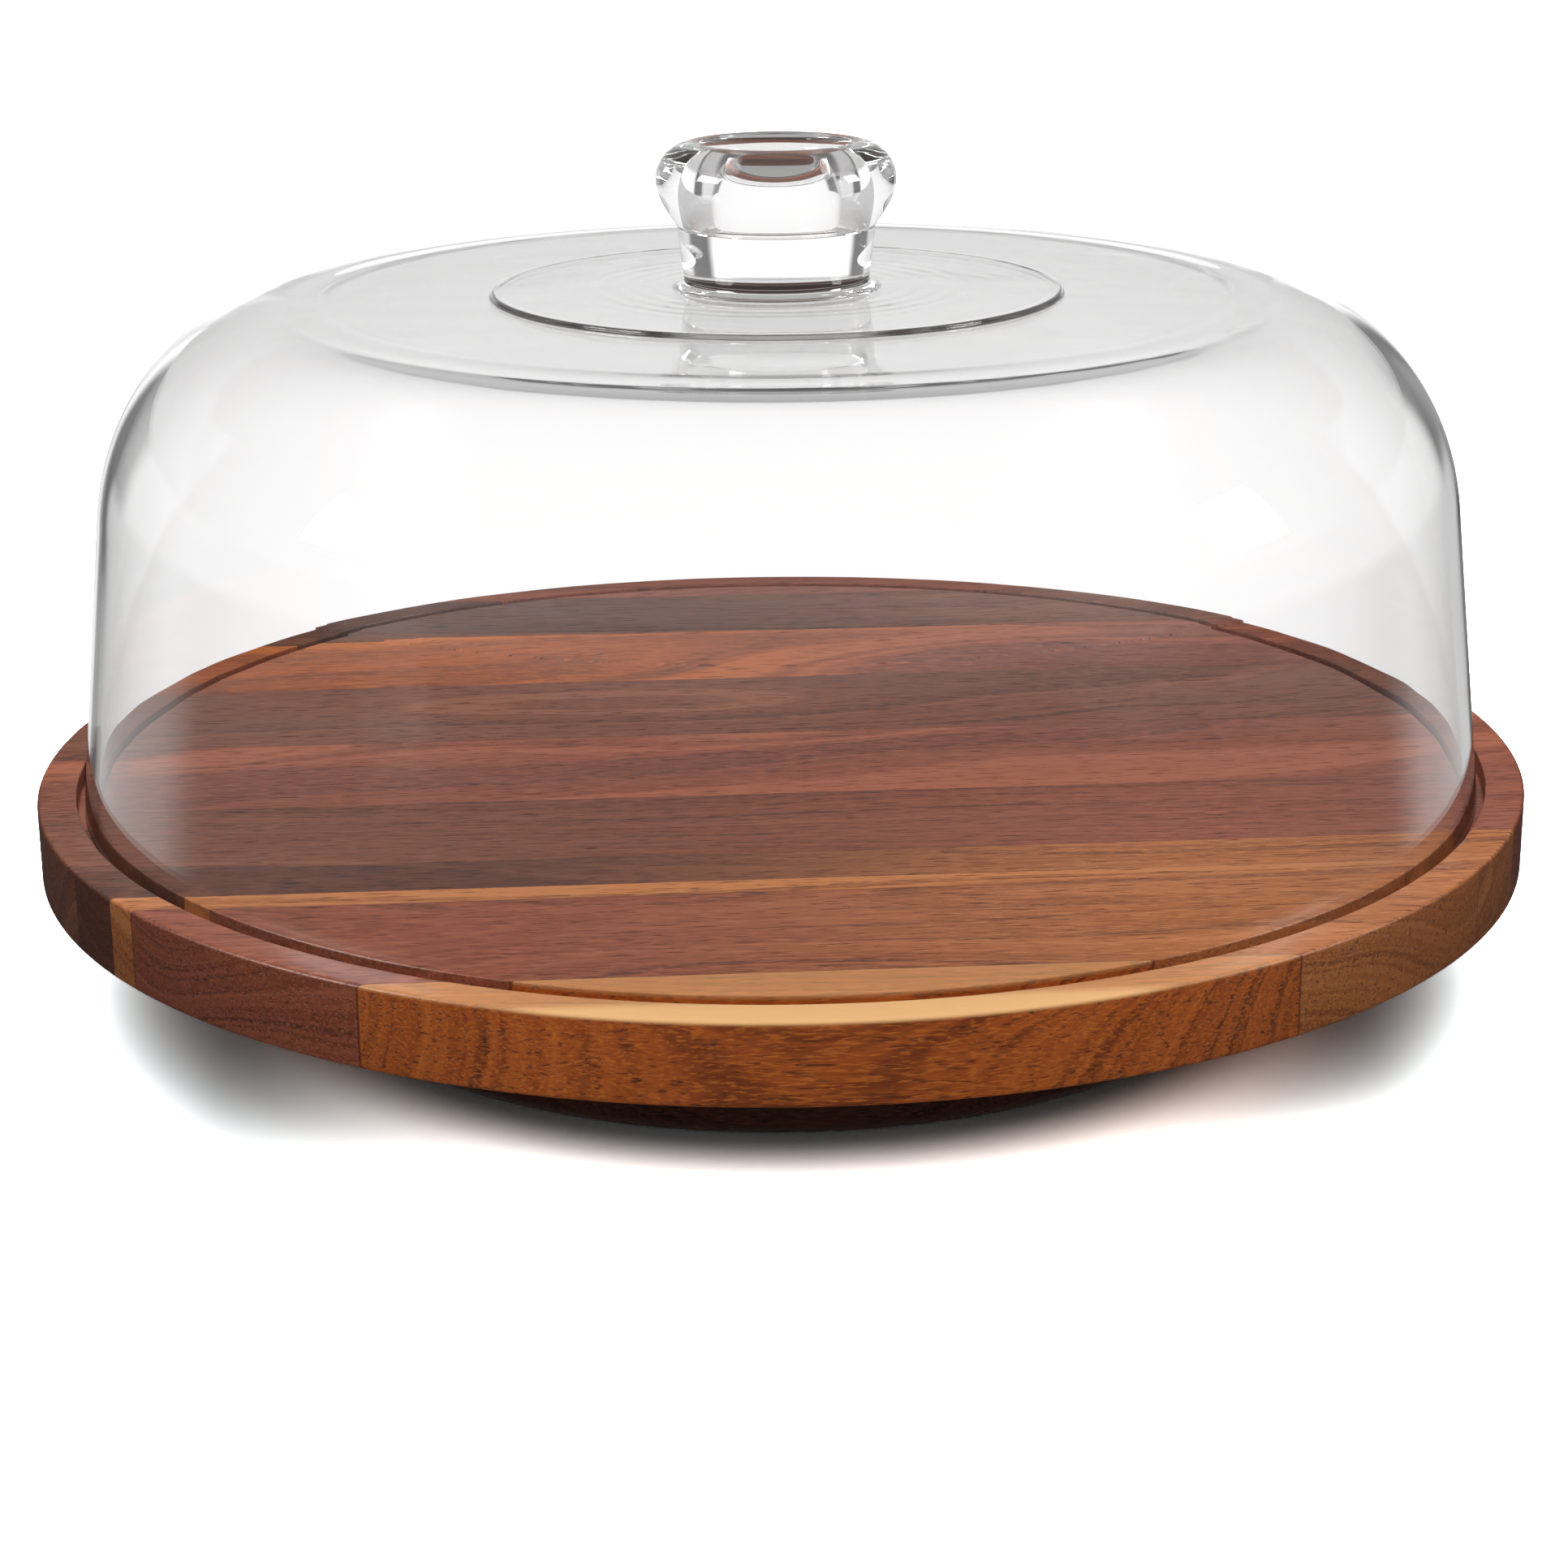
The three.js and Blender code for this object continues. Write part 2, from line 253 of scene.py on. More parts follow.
def tidy_mesh(obj, sharp_degrees=35):
    """Merges doubled points and shades smooth, with creases where faces meet at more than that angle."""
    work = bmesh.new()
    work.from_mesh(obj.data)
    bmesh.ops.remove_doubles(work, verts=work.verts, dist=WELD_DISTANCE * MM)
    bmesh.ops.dissolve_degenerate(work, edges=work.edges, dist=COLLAPSE_DISTANCE * MM)
    work.to_mesh(obj.data)
    work.free()
    obj.data.polygons.foreach_set("use_smooth", [True] * len(obj.data.polygons))
    obj.data.set_sharp_from_angle(angle=math.radians(sharp_degrees))
    obj.data.update()


def settle(obj, material, body, node):
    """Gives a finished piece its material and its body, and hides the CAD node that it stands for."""
    if material is not None:
        obj.data.materials.clear()
        obj.data.materials.append(material)
    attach(obj, body)
    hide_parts(node)
    return obj


def moved(obj, location, turn=None):
    """Bakes a place, and a turn where one is given, into the mesh."""
    if turn is not None:
        obj.data.transform(turn.to_matrix().to_4x4())
    for vertex in obj.data.vertices:
        vertex.co += Vector(location) * MM
    return obj


# ---- Shader trees ----

def linear(code):
    """A hex colour such as #a0561f as linear RGBA."""
    parts = [int(code[i:i + 2], 16) / 255 for i in (1, 3, 5)]
    return [p / 12.92 if p <= 0.04045 else ((p + 0.055) / 1.055) ** 2.4 for p in parts] + [1.0]


class Shader:
    """The node tree of a material or a world, with short calls for the nodes used here."""

    def __init__(self, owner, output):
        self.owner = owner
        owner.use_nodes = True
        self.tree = owner.node_tree
        self.tree.nodes.clear()
        self.output = self.tree.nodes.new(output)

    def node(self, kind, inputs=(), **settings):
        made = self.tree.nodes.new(kind)
        for key, value in settings.items():
            setattr(made, key, value)
        for key, value in dict(inputs).items():
            self.set(made.inputs[key], value)
        return made

    def set(self, socket, value):
        if isinstance(value, bpy.types.NodeSocket):
            self.tree.links.new(value, socket)
        else:
            socket.default_value = value

    def math(self, operation, *values):
        return self.node("ShaderNodeMath", enumerate(values), operation=operation).outputs[0]

    def vector(self, operation, *values):
        made = self.node("ShaderNodeVectorMath", operation=operation)
        for socket, value in zip(made.inputs, values):
            self.set(socket, value)
        return made.outputs["Value" if operation in ("LENGTH", "DOT_PRODUCT") else "Vector"]

    def place(self):
        """The point of the object, in millimetres, in its own frame."""
        coordinates = self.node("ShaderNodeTexCoord")
        return self.vector("MULTIPLY", coordinates.outputs["Object"], (1 / MM,) * 3)

    def facing(self):
        return self.node("ShaderNodeTexCoord").outputs["Normal"]

    def noise(self, vector, scale=1.0, detail=2.0, roughness=0.5, output="Fac"):
        inputs = {"Vector": vector, "Scale": scale, "Detail": detail, "Roughness": roughness}
        return self.node("ShaderNodeTexNoise", inputs).outputs[output]

    def noise_line(self, value, scale=1.0, detail=2.0, roughness=0.5):
        inputs = {"W": value, "Scale": scale, "Detail": detail, "Roughness": roughness}
        return self.node("ShaderNodeTexNoise", inputs, noise_dimensions="1D").outputs["Fac"]

    def between(self, value, low, high, start=0.0, end=1.0):
        """Value from low to high, mapped smoothly to start and end."""
        inputs = {"Value": value, "From Min": low, "From Max": high, "To Min": start, "To Max": end}
        return self.node("ShaderNodeMapRange", inputs, interpolation_type="SMOOTHSTEP").outputs[0]

    def mix(self, share, first, second):
        made = self.node("ShaderNodeMix", data_type="RGBA")
        self.set(made.inputs[0], share)
        self.set(made.inputs[6], first)
        self.set(made.inputs[7], second)
        return made.outputs[2]

    def mix_value(self, share, first, second):
        made = self.node("ShaderNodeMix", data_type="FLOAT")
        for socket, value in zip(made.inputs, (share, None, first, second)):
            if value is not None:
                self.set(socket, value)
        return made.outputs[0]

    def bump(self, height, distance, strength=1.0):
        inputs = {"Height": height, "Distance": distance * MM, "Strength": strength}
        return self.node("ShaderNodeBump", inputs).outputs["Normal"]

    def surface(self, shader):
        self.tree.links.new(shader, self.output.inputs["Surface"])
        return self.owner


def material_shader(name):
    return Shader(bpy.data.materials.new(name), "ShaderNodeOutputMaterial")


# ---- Acacia ----

WOOD_TONES = {
    "golden": {"light": "#cf6f22", "middle": "#ab5017", "dark": "#7c350e", "streak": "#45200a"},
    "red": {"light": "#b06343", "middle": "#8c4329", "dark": "#652c1a", "streak": "#38170c"},
    "dark": {"light": "#7d452a", "middle": "#5b2c19", "dark": "#3f1b0f", "streak": "#220e07"},
    "tan": {"light": "#d0844a", "middle": "#b0642c", "dark": "#88451b", "streak": "#5a2a10"},
    "brown": {"light": "#9a5d40", "middle": "#783f28", "dark": "#562a1a", "streak": "#33170e"},
}
TONE_CHANGE = (-70.0, 90.0)
# The golden front stave: its rings stand upright about this pith, and it gets a painted highlight. A pale
# colour is mixed into its top face within about a millimetre of the top, partly over the whole top and most
# at the outer rim, in place of overhead light and sheen.
UPRIGHT_SAWN_PAINTED_TOP = {
    "tones": ("golden",), "pith": (85.0, 12.0), "painted_highlight": "#efba7c", "painted_highlight_depth": (1.2, 0.3), "share": (0.35, 0.92),
}
SEED_STEP = 37
WAVER = 34.0
# How often each noise in the wood changes in a millimetre, along the grain and across it.
GRAIN = {
    "waver": (0.0045, 0.017),
    "fibre": (0.02, 1.1),
    "patches": (0.006, 0.035),
    "pores": (0.13, 1.55),
    "flecks": (0.3, 3.4),
    "dashes": (0.24, 2.4),
}
# How often growth rings, fine rings and streaks change in a millimetre out from the pith.
RING_RATES = {"growth": 0.13, "fine": 0.75, "streak": 0.085}


def along_grain(s, place, kind):
    along, across = GRAIN[kind]
    return s.vector("MULTIPLY", place, (along, across, across))


def wood_tones(s, x, tones):
    """The colours of one tone, or of a tone on the left that changes to another on the right."""
    left, right = WOOD_TONES[tones[0]], WOOD_TONES[tones[-1]]
    if left is right:
        return {key: linear(code) for key, code in left.items()}
    change = s.between(x, *TONE_CHANGE)
    return {key: s.mix(change, linear(left[key]), linear(right[key])) for key in left}


def from_pith(s, place, own, x, rise, pith):
    """How far a point is from the pith line, which wavers and rises along the stave."""
    slow = s.noise(along_grain(s, own, "waver"), detail=1.0, output="Color")
    waver = s.vector("MULTIPLY", s.vector("SUBTRACT", slow, (0.5, 0.5, 0.5)), (0.0, WAVER, WAVER))
    across = s.vector("MULTIPLY", s.vector("ADD", place, waver), (0.0, 1.0, 1.0))
    rising = s.node("ShaderNodeCombineXYZ", {"Z": s.math("MULTIPLY", x, rise)}).outputs[0]
    return s.vector("LENGTH", s.vector("SUBTRACT", s.vector("ADD", across, rising), (0.0, *pith)))


def acacia(name, tones, seed, joints):
    """Solid wood with its grain along X: growth rings round a pith line of its own, streaks, pores, and dark
    glue at its joints. A stave that is golden all along is sawn with its rings upright and gets a painted
    highlight on its top, strongest at the outer rim, in place of overhead light and sheen."""
    draw = random.Random(seed)
    pith_y = sum(joints) / 2 + draw.choice([-1, 1]) * draw.uniform(12, 60)
    pith_z = draw.choice([-1, 1]) * draw.uniform(45, 110) + 40
    upright = tones == UPRIGHT_SAWN_PAINTED_TOP["tones"]
    if upright:
        pith_y, pith_z = sum(joints) / 2 + UPRIGHT_SAWN_PAINTED_TOP["pith"][0], UPRIGHT_SAWN_PAINTED_TOP["pith"][1]
    rise = draw.uniform(-0.05, 0.05)
    shift = (draw.uniform(-900, 900), draw.uniform(-90, 90), draw.uniform(-90, 90))

    s = material_shader(name)
    place = s.place()
    own = s.vector("ADD", place, shift)
    x, y, z = s.node("ShaderNodeSeparateXYZ", {"Vector": place}).outputs
    tone = wood_tones(s, x, tones)
    depth = from_pith(s, place, own, x, rise, (pith_y, pith_z))

    fibre = s.noise(along_grain(s, own, "fibre"), detail=3.0, roughness=0.6)
    growth = s.noise_line(s.math("MULTIPLY_ADD", fibre, 0.9, depth), RING_RATES["growth"], 4.0, 0.6)
    fine_rings = s.noise_line(s.math("MULTIPLY_ADD", fibre, 0.6, depth), RING_RATES["fine"], 2.0, 0.6)
    rings = s.math("MULTIPLY_ADD", fine_rings, 0.35, s.math("MULTIPLY", growth, 0.65))
    colour = s.mix(s.between(rings, 0.36, 0.52), tone["dark"], tone["middle"])
    colour = s.mix(s.between(rings, 0.5, 0.66), colour, tone["light"])

    streak_line = s.noise_line(s.math("MULTIPLY_ADD", fibre, 1.5, depth), RING_RATES["streak"], 3.0, 0.65)
    streak = s.between(s.math("ABSOLUTE", s.math("SUBTRACT", streak_line, 0.56)), 0.0, 0.035, 1.0, 0.0)
    patches = s.noise(along_grain(s, own, "patches"))
    streak = s.math("MULTIPLY", streak, s.between(patches, 0.4, 0.6, 0.15, 0.85))
    colour = s.mix(streak, colour, tone["streak"])

    pore_noise = s.noise(along_grain(s, own, "pores"), detail=1.5, roughness=0.55)
    pores = s.between(pore_noise, 0.585, 0.66)
    flecks = s.noise(along_grain(s, own, "flecks"), detail=1.0)
    colour = s.mix(s.math("MULTIPLY", pores, 0.8), colour, tone["streak"])
    colour = s.mix(s.between(flecks, 0.3, 0.7, 0.25, 0.0), colour, tone["dark"])
    dashes = s.noise(along_grain(s, own, "dashes"), roughness=0.6)
    colour = s.mix(s.between(dashes, 0.5, 0.64, 0.0, 0.65), colour, tone["light"])
    colour = s.mix(s.between(fibre, 0.35, 0.65, 0.0, 0.22), colour, tone["light"])

    # Painted highlight: mixes the pale colour into the top face and the topmost millimetre of the sides,
    # about a third of the way over the whole top and nearly fully at the outer rim, standing in for overhead
    # light and sheen.
    if upright:
        painted_highlight_depth = s.between(s.math("SUBTRACT", BOARD_HIGH.z, z), *UPRIGHT_SAWN_PAINTED_TOP["painted_highlight_depth"])
        front = s.between(s.math("MULTIPLY", y, -1.0), *GROOVE_RADII, *UPRIGHT_SAWN_PAINTED_TOP["share"])
        colour = s.mix(s.math("MULTIPLY", painted_highlight_depth, front), colour, linear(UPRIGHT_SAWN_PAINTED_TOP["painted_highlight"]))

    glance = s.vector("DOT_PRODUCT", s.facing(), (1.0, 0.0, 0.0))
    end_grain = s.between(s.math("ABSOLUTE", glance), 0.25, 0.95, 0.0, 0.5)
    colour = s.mix(end_grain, colour, s.mix(0.75, colour, tone["streak"]))

    low, high = joints
    gap = s.math("MINIMUM", s.math("SUBTRACT", y, low), s.math("SUBTRACT", high, y))
    glue = s.between(gap, 0.05, 0.22, 0.7, 0.0)
    colour = s.mix(glue, colour, tone["streak"])

    relief = s.math("MULTIPLY_ADD", pores, -1.0, s.math("MULTIPLY", fibre, 0.5))
    roughness = s.math("MULTIPLY_ADD", pores, 0.14, s.between(patches, 0.3, 0.7, 0.33, 0.43))
    shader = s.node("ShaderNodeBsdfPrincipled", {
        "Base Color": colour,
        "Roughness": roughness,
        "Specular IOR Level": 0.4,
        "Normal": s.bump(relief, 0.045, 0.7),
    })
    return s.surface(shader.outputs[0])


# ---- Glass, metal, nylon and rubber ----

GLASS_TINT = "#fefefe"
GLASS_SHADOW_TINT = "#fafafa"
GLASS_ABSORPTION = "#838281"
GLASSES = {
    "dome_glass": {"waviness": 0.12, "density": 4.0},
    "knob_glass": {"waviness": 0.05, "density": 2.0},
}


def clear_glass(name):
    """Glass that bends what is seen through it, lets lamps through to what is behind it, and greys a
    little with the length of the way through it."""
    s = material_shader(name)
    waves = s.noise(s.vector("MULTIPLY", s.place(), (0.028, 0.028, 0.016)), detail=1.0)
    solid = s.node("ShaderNodeBsdfPrincipled", {
        "Base Color": linear(GLASS_TINT),
        "Roughness": 0.0,
        "IOR": 1.5,
        "Transmission Weight": 1.0,
        "Normal": s.bump(waves, GLASSES[name]["waviness"]),
    })
    through = s.node("ShaderNodeBsdfTransparent", {"Color": linear(GLASS_SHADOW_TINT)})
    path = s.node("ShaderNodeLightPath")
    lit = s.math("MAXIMUM", path.outputs["Is Shadow Ray"], path.outputs["Is Diffuse Ray"])
    mixed = s.node("ShaderNodeMixShader", {0: lit, 1: solid.outputs[0], 2: through.outputs[0]})
    absorbed = {"Color": linear(GLASS_ABSORPTION), "Density": GLASSES[name]["density"]}
    inside = s.node("ShaderNodeVolumeAbsorption", absorbed)
    s.tree.links.new(inside.outputs[0], s.output.inputs["Volume"])
    return s.surface(mixed.outputs[0])


def fused_joint():
    """Where the knob is fused to the dome there is no surface, so light passes straight on."""
    s = material_shader("fused_glass")
    through = s.node("ShaderNodeBsdfTransparent", {"Color": (1.0, 1.0, 1.0, 1.0)})
    return s.surface(through.outputs[0])


def turned_aluminium():
    s = material_shader("turned_aluminium")
    place = s.place()
    flat = s.vector("MULTIPLY", place, (1.0, 1.0, 0.0))
    lines = s.noise_line(s.vector("LENGTH", flat), 9.0, 3.0, 0.7)
    spots = s.noise(place, 0.35, 2.0)
    colour = s.mix(s.between(spots, 0.3, 0.7), linear("#c9cbce"), linear("#b7babd"))
    shader = s.node("ShaderNodeBsdfPrincipled", {
        "Base Color": colour,
        "Metallic": 1.0,
        "Roughness": s.between(lines, 0.3, 0.7, 0.26, 0.42),
        "Normal": s.bump(lines, 0.012),
    })
    return s.surface(shader.outputs[0])


def steel(name, light, dark, roughness, grain):
    s = material_shader(name)
    marks = s.noise(s.place(), grain, 3.0)
    shader = s.node("ShaderNodeBsdfPrincipled", {
        "Base Color": s.mix(s.between(marks, 0.35, 0.65), linear(light), linear(dark)),
        "Metallic": 1.0,
        "Roughness": s.between(marks, 0.3, 0.7, *roughness),
        "Normal": s.bump(marks, 0.004),
    })
    return s.surface(shader.outputs[0])


def moulded(name, light, dark, roughness, grain, relief):
    """Nylon or rubber: a fine moulded grain over slow changes of tone."""
    s = material_shader(name)
    place = s.place()
    skin = s.noise(place, grain, 2.0)
    tone = s.noise(place, 0.15, 2.0)
    shader = s.node("ShaderNodeBsdfPrincipled", {
        "Base Color": s.mix(s.between(tone, 0.3, 0.7), linear(light), linear(dark)),
        "Roughness": s.between(skin, 0.3, 0.7, *roughness),
        "Normal": s.bump(skin, relief),
    })
    return s.surface(shader.outputs[0])


# ---- Wooden discs, sawn into staves ----

def rounded_rim(radius, height, rounding, side):
    """The rounding where a disc's rim meets its top (side 1) or its underside (side -1)."""
    centre = (radius - rounding, height - side * rounding)
    return arc(centre, rounding, 0, 90, 5) if side > 0 else arc(centre, rounding, -90, 0, 5)


def board_profile():
    low, high, radius = BOARD_LOW.z, BOARD_HIGH.z, BOARD_HIGH.x
    lip, corner = GROOVE_LIP_ROUNDING, GROOVE_CORNER_ROUNDING
    inner, outer = GROOVE_RADII
    floor = high - GROOVE_DEPTH
    return [
        (0, low),
        *rounded_rim(radius, low, BOARD_EDGE_ROUNDING, -1),
        *rounded_rim(radius, high, BOARD_EDGE_ROUNDING, 1),
        *arc((outer + lip, high - lip), lip, 90, 180, 4),
        *arc((outer - corner, floor + corner), corner, 0, -90, 4),
        *arc((inner + corner, floor + corner), corner, 270, 180, 4),
        *arc((inner - lip, high - lip), lip, 0, 90, 4),
        (0, high),
    ]


def base_profile():
    low, high, radius = BASE_LOW.z, BASE_HIGH.z, BASE_HIGH.x
    lower, upper = BASE_CHAMFERS
    soft = BASE_CHAMFER_SOFTENING
    return [
        (0, low),
        (radius - lower - soft, low),
        (radius - lower + soft / 2, low + soft / 2),
        (radius - soft / 2, low + lower - soft / 2),
        (radius, low + lower + soft),
        (radius, high - upper - soft),
        (radius - soft / 2, high - upper + soft / 2),
        (radius - upper, high),
        (0, high),
    ]


def stave_edges(nodes):
    """Where each stave starts and ends across the disc, from its own CAD box."""
    return [(node_box(n)[0].y, node_box(n)[1].y) for n in nodes]


def screw_places(nodes, circle, height, flip):
    """Centre angle of each screw, from its CAD box, with the height of its head."""
    made = []
    for node in nodes:
        low, high = node_box(node)
        angle = math.atan2((low.y + high.y) / 2, (low.x + high.x) / 2)
        made.append({"angle": angle, "circle": circle, "height": height, "flip": flip, "node": node})
    return made


OUTER_SCREWS = screw_places(OUTER_SCREW_NODES, OUTER_SCREW_CIRCLE, node_box("bearing_outer_ring")[1].z, False)
INNER_SCREWS = screw_places(INNER_SCREW_NODES, INNER_SCREW_CIRCLE, node_box("bearing_inner_ring")[0].z, True)


def set_screw(obj, place):
    """Puts a screw, made head up at the origin, in its place."""
    turn = Quaternion((1, 0, 0), math.pi if place["flip"] else 0.0)
    return moved(obj, around(place["circle"], place["angle"], place["height"]), turn)


def drill(obj, places):
    """Takes the room of the screws that pass through a piece out of it."""
    low, high = [Vector(c) for c in (obj.bound_box[0], obj.bound_box[6])]
    grown, shank = SCREW["head"] + SCREW_ROOM, SCREW["shank"] + SCREW_ROOM
    slope = SCREW["head"] - SCREW["shank"]
    profile = [
        (0, -SCREW["length"] - DRILL_OVERSHOOT),
        (shank, -SCREW["length"] + SCREW["tip"] - DRILL_OVERSHOOT),
        (shank, -slope),
        (grown, 0),
        (grown, DRILL_OVERSHOOT),
        (0, DRILL_OVERSHOOT),
    ]
    for place in places:
        x, y, _ = around(place["circle"] * MM, place["angle"], 0)
        reach = grown * MM
        if low.x - reach < x < high.x + reach and low.y - reach < y < high.y + reach:
            cut_once(obj, set_screw(turned("screw_room", profile, TURNS["screw"]), place))


def rod(radius, reach, turns):
    return turned("rod", [(0, -reach), (radius, -reach), (radius, reach), (0, reach)], turns)


def sawn_staves(nodes, profile, turns, screws, tones, body, hole=None):
    """One stave for each CAD node: the turned disc between two glue joints, drilled for its screws."""
    disc = turned("disc", profile, turns)
    reach = max(r for r, _ in profile) + SAW_MARGIN
    for number, (node, (front, back)) in enumerate(zip(nodes, stave_edges(nodes))):
        first, last = number == 0, number == len(nodes) - 1
        low = (-reach, -reach if first else front, -reach)
        high = (reach, reach if last else back, reach)
        stave = new_object(f"fine_{node}", *box_mesh(low, high))
        cut(stave, disc, "INTERSECT")
        drill(stave, screws)
        if hole is not None and front < hole["radius"] and back > -hole["radius"]:
            cut_once(stave, moved(rod(hole["radius"], reach, TURNS["hole"]), (hole["circle"], 0, 0)))
        tidy_mesh(stave)
        edges = (-reach if first else front, reach if last else back)
        wood = acacia(f"acacia_{node}", tones[number], SEED_STEP * number + len(nodes), edges)
        settle(stave, wood, body, node)
    discard(disc)


BOARD_TONES = [
    ("golden",), ("red", "tan"), ("tan",), ("dark", "tan"), ("brown", "red"),
    ("red",), ("brown",), ("golden", "red"), ("dark", "brown"), ("red",),
]
BASE_TONES = [("dark",), ("red",), ("brown",), ("dark",), ("red",)]


def make_board():
    sawn_staves(BOARD_NODES, board_profile(), TURNS["board"], INNER_SCREWS, BOARD_TONES, "turntable")


def make_base():
    sawn_staves(BASE_NODES, base_profile(), TURNS["base"], OUTER_SCREWS, BASE_TONES, "base", ACCESS_HOLE)


# ---- Feet, bearing and screws ----

def make_feet():
    rubber = moulded("foot_rubber", "#1b1b1c", "#121213", (0.62, 0.85), 4.0, 0.03)
    for node in FOOT_NODES:
        low, high = node_box(node)
        radius, height = (high.x - low.x) / 2, high.z
        dimple = FOOT_DIMPLE
        profile = [
            (0, dimple["depth"]),
            (dimple["radius"] - dimple["inward"], dimple["depth"]),
            (dimple["radius"] + dimple["outward"], 0),
            *arc((radius - FOOT_ROUNDING, FOOT_ROUNDING), FOOT_ROUNDING, -90, 0, 5),
            (radius, height - FOOT_TOP_CHAMFER),
            (radius - FOOT_TOP_CHAMFER, height),
            (0, height),
        ]
        foot = moved(turned(f"fine_{node}", profile, TURNS["foot"]), ((low + high) / 2).xy.to_3d())
        tidy_mesh(foot)
        settle(foot, rubber, "base", node)


def race(side, face):
    """Ball race of a ring, low to high: side 1 is cut outwards, side -1 inwards."""
    reach = math.degrees(math.acos(abs(face - BALL_CIRCLE) / RACE_RADIUS))
    first, last = (-reach, reach) if side > 0 else (180 + reach, 180 - reach)
    return arc((BALL_CIRCLE, BALL_MIDDLE), RACE_RADIUS, first, last, RACE_STEPS)


def ring_profile(inside, outside, low, high, race_points, race_on_outside):
    edge = RING_EDGE
    outer = race_points if race_on_outside else []
    inner = [] if race_on_outside else race_points[::-1]
    return [
        (inside + edge, low),
        (outside - edge, low),
        (outside, low + edge),
        *outer,
        (outside, high - edge),
        (outside - edge, high),
        (inside + edge, high),
        (inside, high - edge),
        *inner,
        (inside, low + edge),
    ]


def make_rings():
    aluminium = turned_aluminium()
    for node, body, side, screws in (
        ("bearing_outer_ring", "base", 1, OUTER_SCREWS),
        ("bearing_inner_ring", "turntable", -1, INNER_SCREWS),
    ):
        low, high = node_box(node)
        inside, outside = RING_INSIDES[node], high.x
        points = race(side, inside if side > 0 else outside)
        profile = ring_profile(inside, outside, low.z, high.z, points, side < 0)
        ring = turned(f"fine_{node}", profile, TURNS["ring"], closed=True)
        drill(ring, screws)
        tidy_mesh(ring, sharp_degrees=25)
        settle(ring, aluminium, body, node)


def make_cage():
    low, high = node_box("ball_cage")
    outside, inside, edge = high.x, high.x - CAGE["wall"], CAGE["edge"]
    profile = [
        (inside + edge, low.z), (outside - edge, low.z), (outside, low.z + edge),
        (outside, high.z - edge), (outside - edge, high.z), (inside + edge, high.z),
        (inside, high.z - edge), (inside, low.z + edge),
    ]
    cage = turned("fine_ball_cage", profile, TURNS["ring"], closed=True)
    for number in range(len(BALL_NODES)):
        angle = ROUND * number / len(BALL_NODES)
        pocket = rod(RACE_RADIUS, CAGE["pocket_reach"], TURNS["screw"])
        turn = Quaternion((0, 0, 1), angle) @ Quaternion((0, 1, 0), math.pi / 2)
        cut_once(cage, moved(pocket, around(BALL_CIRCLE, angle, BALL_MIDDLE), turn))
    tidy_mesh(cage)
    nylon = moulded("cage_nylon", "#ded9cb", "#cdc7b8", (0.42, 0.6), 3.0, 0.012)
    settle(cage, nylon, "ball_cage", "ball_cage")


def make_balls():
    polished = steel("ball_steel", "#d3d6da", "#c4c8cd", (0.05, 0.11), 0.8)
    for node in BALL_NODES:
        low, high = node_box(node)
        profile = arc((0, 0), BALL_RADIUS, -90, 90, TURNS["ball"] // 2)
        profile[0], profile[-1] = (0, -BALL_RADIUS), (0, BALL_RADIUS)
        ball = moved(turned(f"fine_{node}", profile, TURNS["ball"]), (low + high) / 2)
        tidy_mesh(ball, sharp_degrees=60)
        settle(ball, polished, "ball_cage", node)


def threaded_shank(head, shank, core, length, tip, pitch):
    """Countersunk head, head up at height 0, over a shank with one helical thread."""
    turns, slope, rim = TURNS["thread"], head - shank, head - SCREW_HEAD_RIM["inset"]
    points, rows = [], []
    add_row(points, rows, [0], -length)
    for z in spaced(-length + THREAD["start"], -slope - THREAD["end"], THREAD["steps"]):
        taper = smooth_step((z + length) / tip)
        radii = []
        for i in range(turns):
            phase = (z / pitch - i / turns) % 1.0
            ridge = max(0.0, 1 - abs(phase - 0.5) * 4)
            radii.append(taper * (core + (shank - core) * ridge) + (1 - taper) * THREAD["tip_radius"])
        add_row(points, rows, radii, z)
    for radius, z in (
        (shank, -slope - THREAD["plain"]), (shank, -slope), (rim, -SCREW_HEAD_RIM["height"]), (rim, 0),
    ):
        add_row(points, rows, [radius] * turns, z)
    add_row(points, rows, [0], 0)
    return points, skin(rows)[0]


def make_screws():
    zinc = steel("screw_zinc", "#b9bdc2", "#9fa3a8", (0.24, 0.4), 1.6)
    length, width, depth = SCREW_RECESS["length"], SCREW_RECESS["width"], SCREW_RECESS["depth"]
    for place in OUTER_SCREWS + INNER_SCREWS:
        screw = new_object(f"fine_{place['node']}", *threaded_shank(**SCREW))
        for x, y in ((length, width), (width, length)):
            cut_once(screw, new_object("recess", *box_mesh((-x / 2, -y / 2, -depth), (x / 2, y / 2, depth))))
        tidy_mesh(set_screw(screw, place), sharp_degrees=30)
        settle(screw, zinc, "turntable" if place["flip"] else "base", place["node"])


# ---- Dome and knob ----

def shoulder_curve(steps):
    """Quarter superellipse from the wall to the crown, which starts with the wall's own lean."""
    start_r, start_z = SHOULDER_START
    end_r, end_z = SHOULDER_END
    power = 2 / SHOULDER_EXPONENT
    lean = (DOME_HIGH.x - start_r) / (start_z - DOME_LOW.z - DOME_FOOT_ROUNDING)
    points = []
    for i in range(steps + 1):
        angle = math.pi / 2 * i / steps
        along, rise = max(0.0, math.cos(angle)) ** power, math.sin(angle) ** power
        height = (end_z - start_z) * rise
        points.append((end_r + (start_r - end_r) * along - lean * height * math.cos(angle), start_z + height))
    return points


